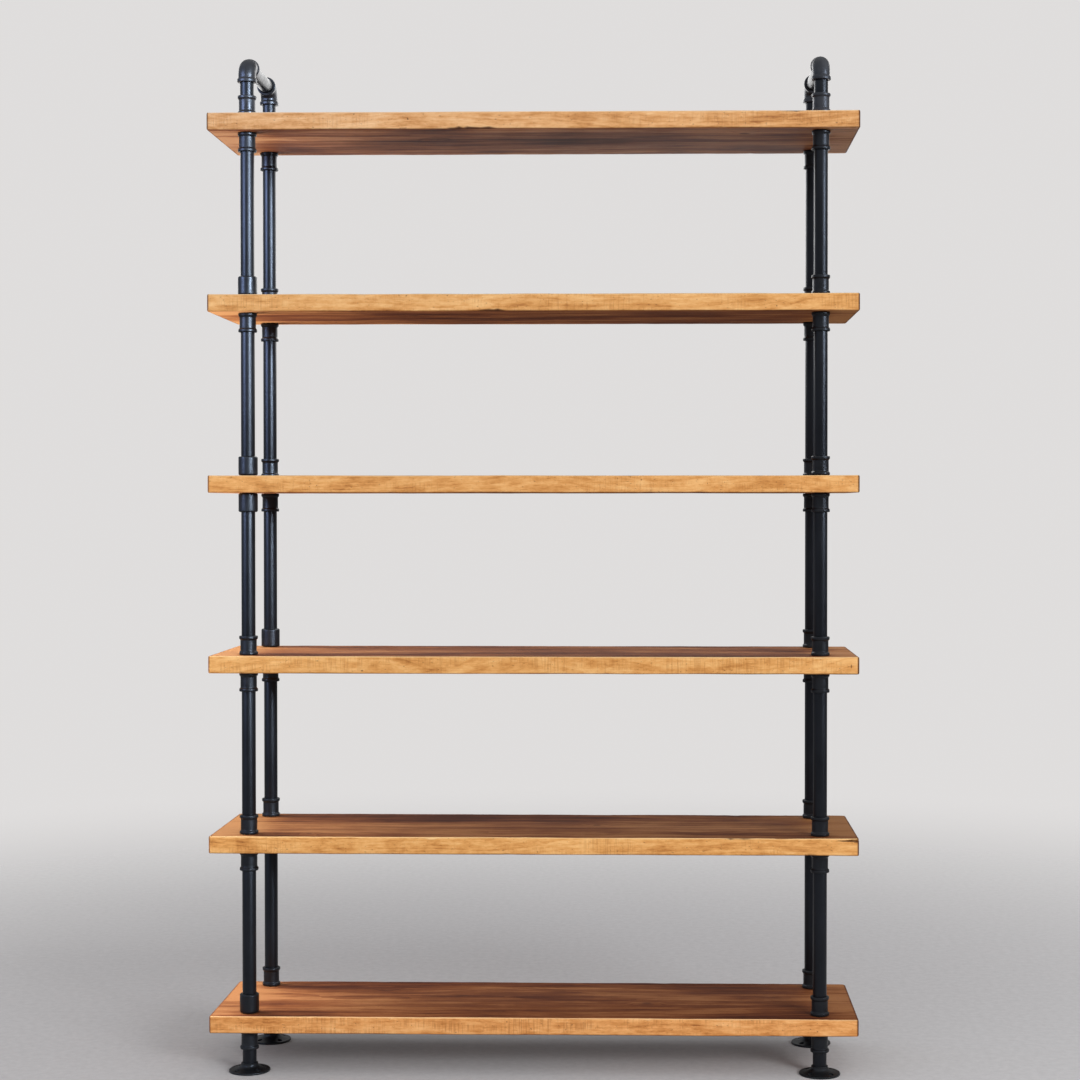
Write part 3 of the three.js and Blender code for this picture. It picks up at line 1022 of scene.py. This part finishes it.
# from the lowest up
PLANKS = (
    Plank(
        heart=(0.03, -0.12),
        knots=((-0.31, 0.5, 6 * MM), (0.22, -0.35, 8 * MM)),
        tone=(0.97, 0.88, 0.84),
        saw_marks=0.40,
        face_tone=0.72,
        pin_knots=((-0.05, 9 * MM, 1.2 * MM, 1.6 * MM),),
    ),
    Plank(
        heart=(-0.06, 0.14),
        knots=((0.12, 2.6, 7 * MM), (-0.44, 3.5, 5 * MM)),
        tone=(0.98, 0.95, 0.87),
        saw_marks=0.28,
        face_tone=0.66,
        nicks=((UPPER_FRONT, 0.40, 0.03, 1.2 * MM),),
        splits=((1, 12.5 * MM, 0.045, 8.0 * MM, 14 * MM),),
    ),
    Plank(
        heart=(0.08, -0.10),
        knots=((-0.49, 0.9, 8 * MM), (0.30, -0.2, 6 * MM)),
        tone=(0.97, 0.94, 0.86),
        saw_marks=0.26,
        pin_knots=((0.614, -1 * MM, 1.3 * MM, 4 * MM), (-0.33, -11 * MM, 2.5 * MM, 1.4 * MM)),
    ),
    Plank(
        heart=(-0.02, 0.12),
        knots=((0.01, 2.9, 5 * MM), (0.47, 3.4, 7 * MM)),
        tone=(0.99, 0.95, 0.88),
        saw_marks=0.18,
        pin_knots=((0.21, 8 * MM, 1.4 * MM, 1.4 * MM),),
    ),
    Plank(
        heart=(0.06, 0.15),
        knots=((-0.24, 3.6, 8 * MM), (0.33, 2.7, 6 * MM)),
        tone=(0.98, 0.96, 0.91),
        saw_marks=0.26,
        pin_knots=((0.47, -8 * MM, 1.4 * MM, 1.6 * MM),),
        nicks=((LOWER_FRONT, -0.08, 0.03, 2.5 * MM),),
    ),
    Plank(
        heart=(-0.04, -0.11),
        knots=((-0.20, 0.2, 6 * MM), (0.41, -0.5, 9 * MM)),
        tone=(0.97, 0.98, 1.10),
        saw_marks=0.16,
        pin_knots=((-0.24, 3 * MM, 1.6 * MM, 2.2 * MM),),
        nicks=((LOWER_FRONT, -0.115, 0.05, 3.5 * MM), (UPPER_FRONT, 0.5, 0.02, 1.5 * MM)),
    ),
)


# ---------- stage ----------

BACKGROUND = (0.74, 0.725, 0.72)
FLOOR_RADIUS = 9.0
FLOOR_STEPS = 96
FLOOR_FADE = (0.9, 4.0)  # distances from the middle
FLOOR_COLOURS = ((0.58, 0.565, 0.565), (0.66, 0.645, 0.645))


def add_floor():
    """A pale disc that fades into the background towards its rim."""
    vertices = [Vector((0, 0, 0))]
    for step in range(FLOOR_STEPS):
        angle = step / FLOOR_STEPS * math.tau
        vertices.append(Vector((math.cos(angle) * FLOOR_RADIUS, math.sin(angle) * FLOOR_RADIUS, 0)))
    faces = [(0, 1 + step, 1 + (step + 1) % FLOOR_STEPS) for step in range(FLOOR_STEPS)]
    material, nodes = new_material("pale_floor")
    place = nodes.object_place()
    fade = nodes.step(nodes.length(place), *FLOOR_FADE)
    speckle = nodes.noise(place, 60.0, 4.0, 0.7)
    colour = nodes.ramp(speckle, ((0.3, FLOOR_COLOURS[0]), (0.7, FLOOR_COLOURS[1])))
    surface = nodes.add("ShaderNodeBsdfPrincipled", {"Base Color": colour, "Roughness": 0.8})
    clear = nodes.add("ShaderNodeBsdfTransparent")
    blend = nodes.add("ShaderNodeMixShader", {0: fade, 1: surface.outputs[0], 2: clear.outputs[0]})
    nodes.add("ShaderNodeOutputMaterial", {"Surface": blend.outputs[0]})
    add_mesh("floor", vertices, faces, material)


class Lamp(NamedTuple):
    """A rectangular lamp. It lights the colour of what it falls on, or only shows mirrored in its shine."""
    name: str
    place: tuple
    target: tuple
    size: tuple
    power: float
    colour: tuple
    is_mirrored: bool = False
    falls_on: str = ""  # only on pieces with this in their names
    spread: float = 180  # degrees


def pane(name, side, place, target, power, colour):
    """A window pane that shows only in the paint of the pieces on one side."""
    return Lamp(name, place, target, (1.8, 1.8), power, colour, True, side, 45)


# A window high on the right lights everything. A wide one beside the left ends of the shelves and a patch of
# sky light the planks. The panes make the lines down the pipes, and a pale strip of wall shows in the metal.
LAMPS = (
    Lamp("window_right", (3.6, -4.6, 2.3), (0.2, 0, 1.0), (2.2, 1.8), 200, (0.96, 0.98, 1.0)),
    Lamp("window_left", (-1.08, 0.05, 0.78), (0, 0.05, 0.78), (0.7, 1.26), 28, (0.90, 0.95, 1.0),
         falls_on="plank"),
    Lamp("sky_left", (-1.5, -1.2, 2.3), (-0.6, -0.15, 1.9), (0.6, 0.6), 2.2, (0.30, 0.48, 1.0),
         falls_on="plank", spread=70),
    pane("pane_left", "left", (-3.4, -2.6, 2.5), (-UPRIGHT_X, 0, 1.9), 24, (0.50, 0.62, 1.0)),
    pane("pane_front", "left", (3.6, -4.6, 2.7), (-2.0, 0, 2.0), 125, (0.76, 0.86, 1.0)),
    pane("pane_right", "right", (5.0, -3.2, 2.7), (UPRIGHT_X, 0, 2.3), 24, (0.80, 0.88, 1.0)),
    Lamp("wall_behind", (0, 1.1, 2.0), (0, 0, 1.95), (2.6, 0.9), 26, (1.0, 0.99, 0.98), is_mirrored=True),
)


def add_lamp(lamp):
    data = bpy.data.lights.new(lamp.name, "AREA")
    data.shape = "RECTANGLE"
    data.size, data.size_y = lamp.size
    data.energy = lamp.power
    data.color = lamp.colour
    data.spread = math.radians(lamp.spread)
    light = bpy.data.objects.new(lamp.name, data)
    light.location = lamp.place
    towards = Vector(lamp.target) - Vector(lamp.place)
    light.rotation_euler = towards.to_track_quat("-Z", "Y").to_euler()
    light.visible_camera = False
    light.visible_diffuse = not lamp.is_mirrored
    light.visible_glossy = lamp.is_mirrored
    bpy.context.scene.collection.objects.link(light)
    if lamp.falls_on:
        receivers = bpy.data.collections.new(f"{lamp.name}_receivers")
        for piece in PIECES:
            if lamp.falls_on in piece.name:
                receivers.objects.link(piece)
        light.light_linking.receiver_collection = receivers


# colours of the room as a light
FRONT_LOW, FRONT_HIGH = (0.18, 0.177, 0.177), (0.95, 0.945, 0.96)
BACK_LOW, BACK_HIGH = (0.16, 0.157, 0.155), (0.40, 0.395, 0.39)
LEFT_SIDE = (0.55, 0.60, 0.70)
OVERHEAD = (0.55, 0.55, 0.55)


def add_world():
    """Pale all round to look at. As a light it is like a white room: bright from high in front, dim low down
    in front, and pale behind, where its wall is."""
    world = bpy.data.worlds.new("world")
    world.use_nodes = True
    world.node_tree.nodes.clear()
    bpy.context.scene.world = world
    nodes = Nodes(world.node_tree)
    x, y, z = nodes.axes(nodes.add("ShaderNodeTexCoord").outputs["Generated"])
    front = nodes.mix(nodes.step(z, -0.05, 0.42), FRONT_LOW, FRONT_HIGH)
    back = nodes.mix(nodes.step(z, 0.0, 0.35), BACK_LOW, BACK_HIGH)
    light = nodes.mix(nodes.step(y, -0.25, 0.4), front, back)
    on_left = nodes.product(nodes.step(x, -0.95, -0.4, 1.0, 0.0), nodes.step(z, -0.2, 0.1))
    light = nodes.mix(on_left, light, LEFT_SIDE)
    light = nodes.mix(nodes.step(z, 0.65, 0.95), light, OVERHEAD)
    seen = nodes.add("ShaderNodeLightPath").outputs["Is Camera Ray"]
    background = nodes.add("ShaderNodeBackground", {"Color": nodes.mix(seen, light, BACKGROUND)})
    nodes.add("ShaderNodeOutputWorld", {"Surface": background.outputs[0]})


PAINT = pipe_material()
CASTING = casting_material("black_malleable_iron", 1.0)
# painted light: the castings above the top shelf are painted greyer, as they are lit more than those under
# the shelves
LIT_TOP_CASTING = casting_material("grey_malleable_iron", 0.22)

bpy.context.scene.view_settings.view_transform = "Standard"
add_camera()
add_world()
add_floor()
for order, upright in enumerate(UPRIGHTS):
    build_upright(upright, order)
for side in ("left", "right"):
    build_cross_rail(side)
for level, plank in enumerate(PLANKS, start=1):
    add_plank(level, plank)
for lamp in LAMPS:
    add_lamp(lamp)
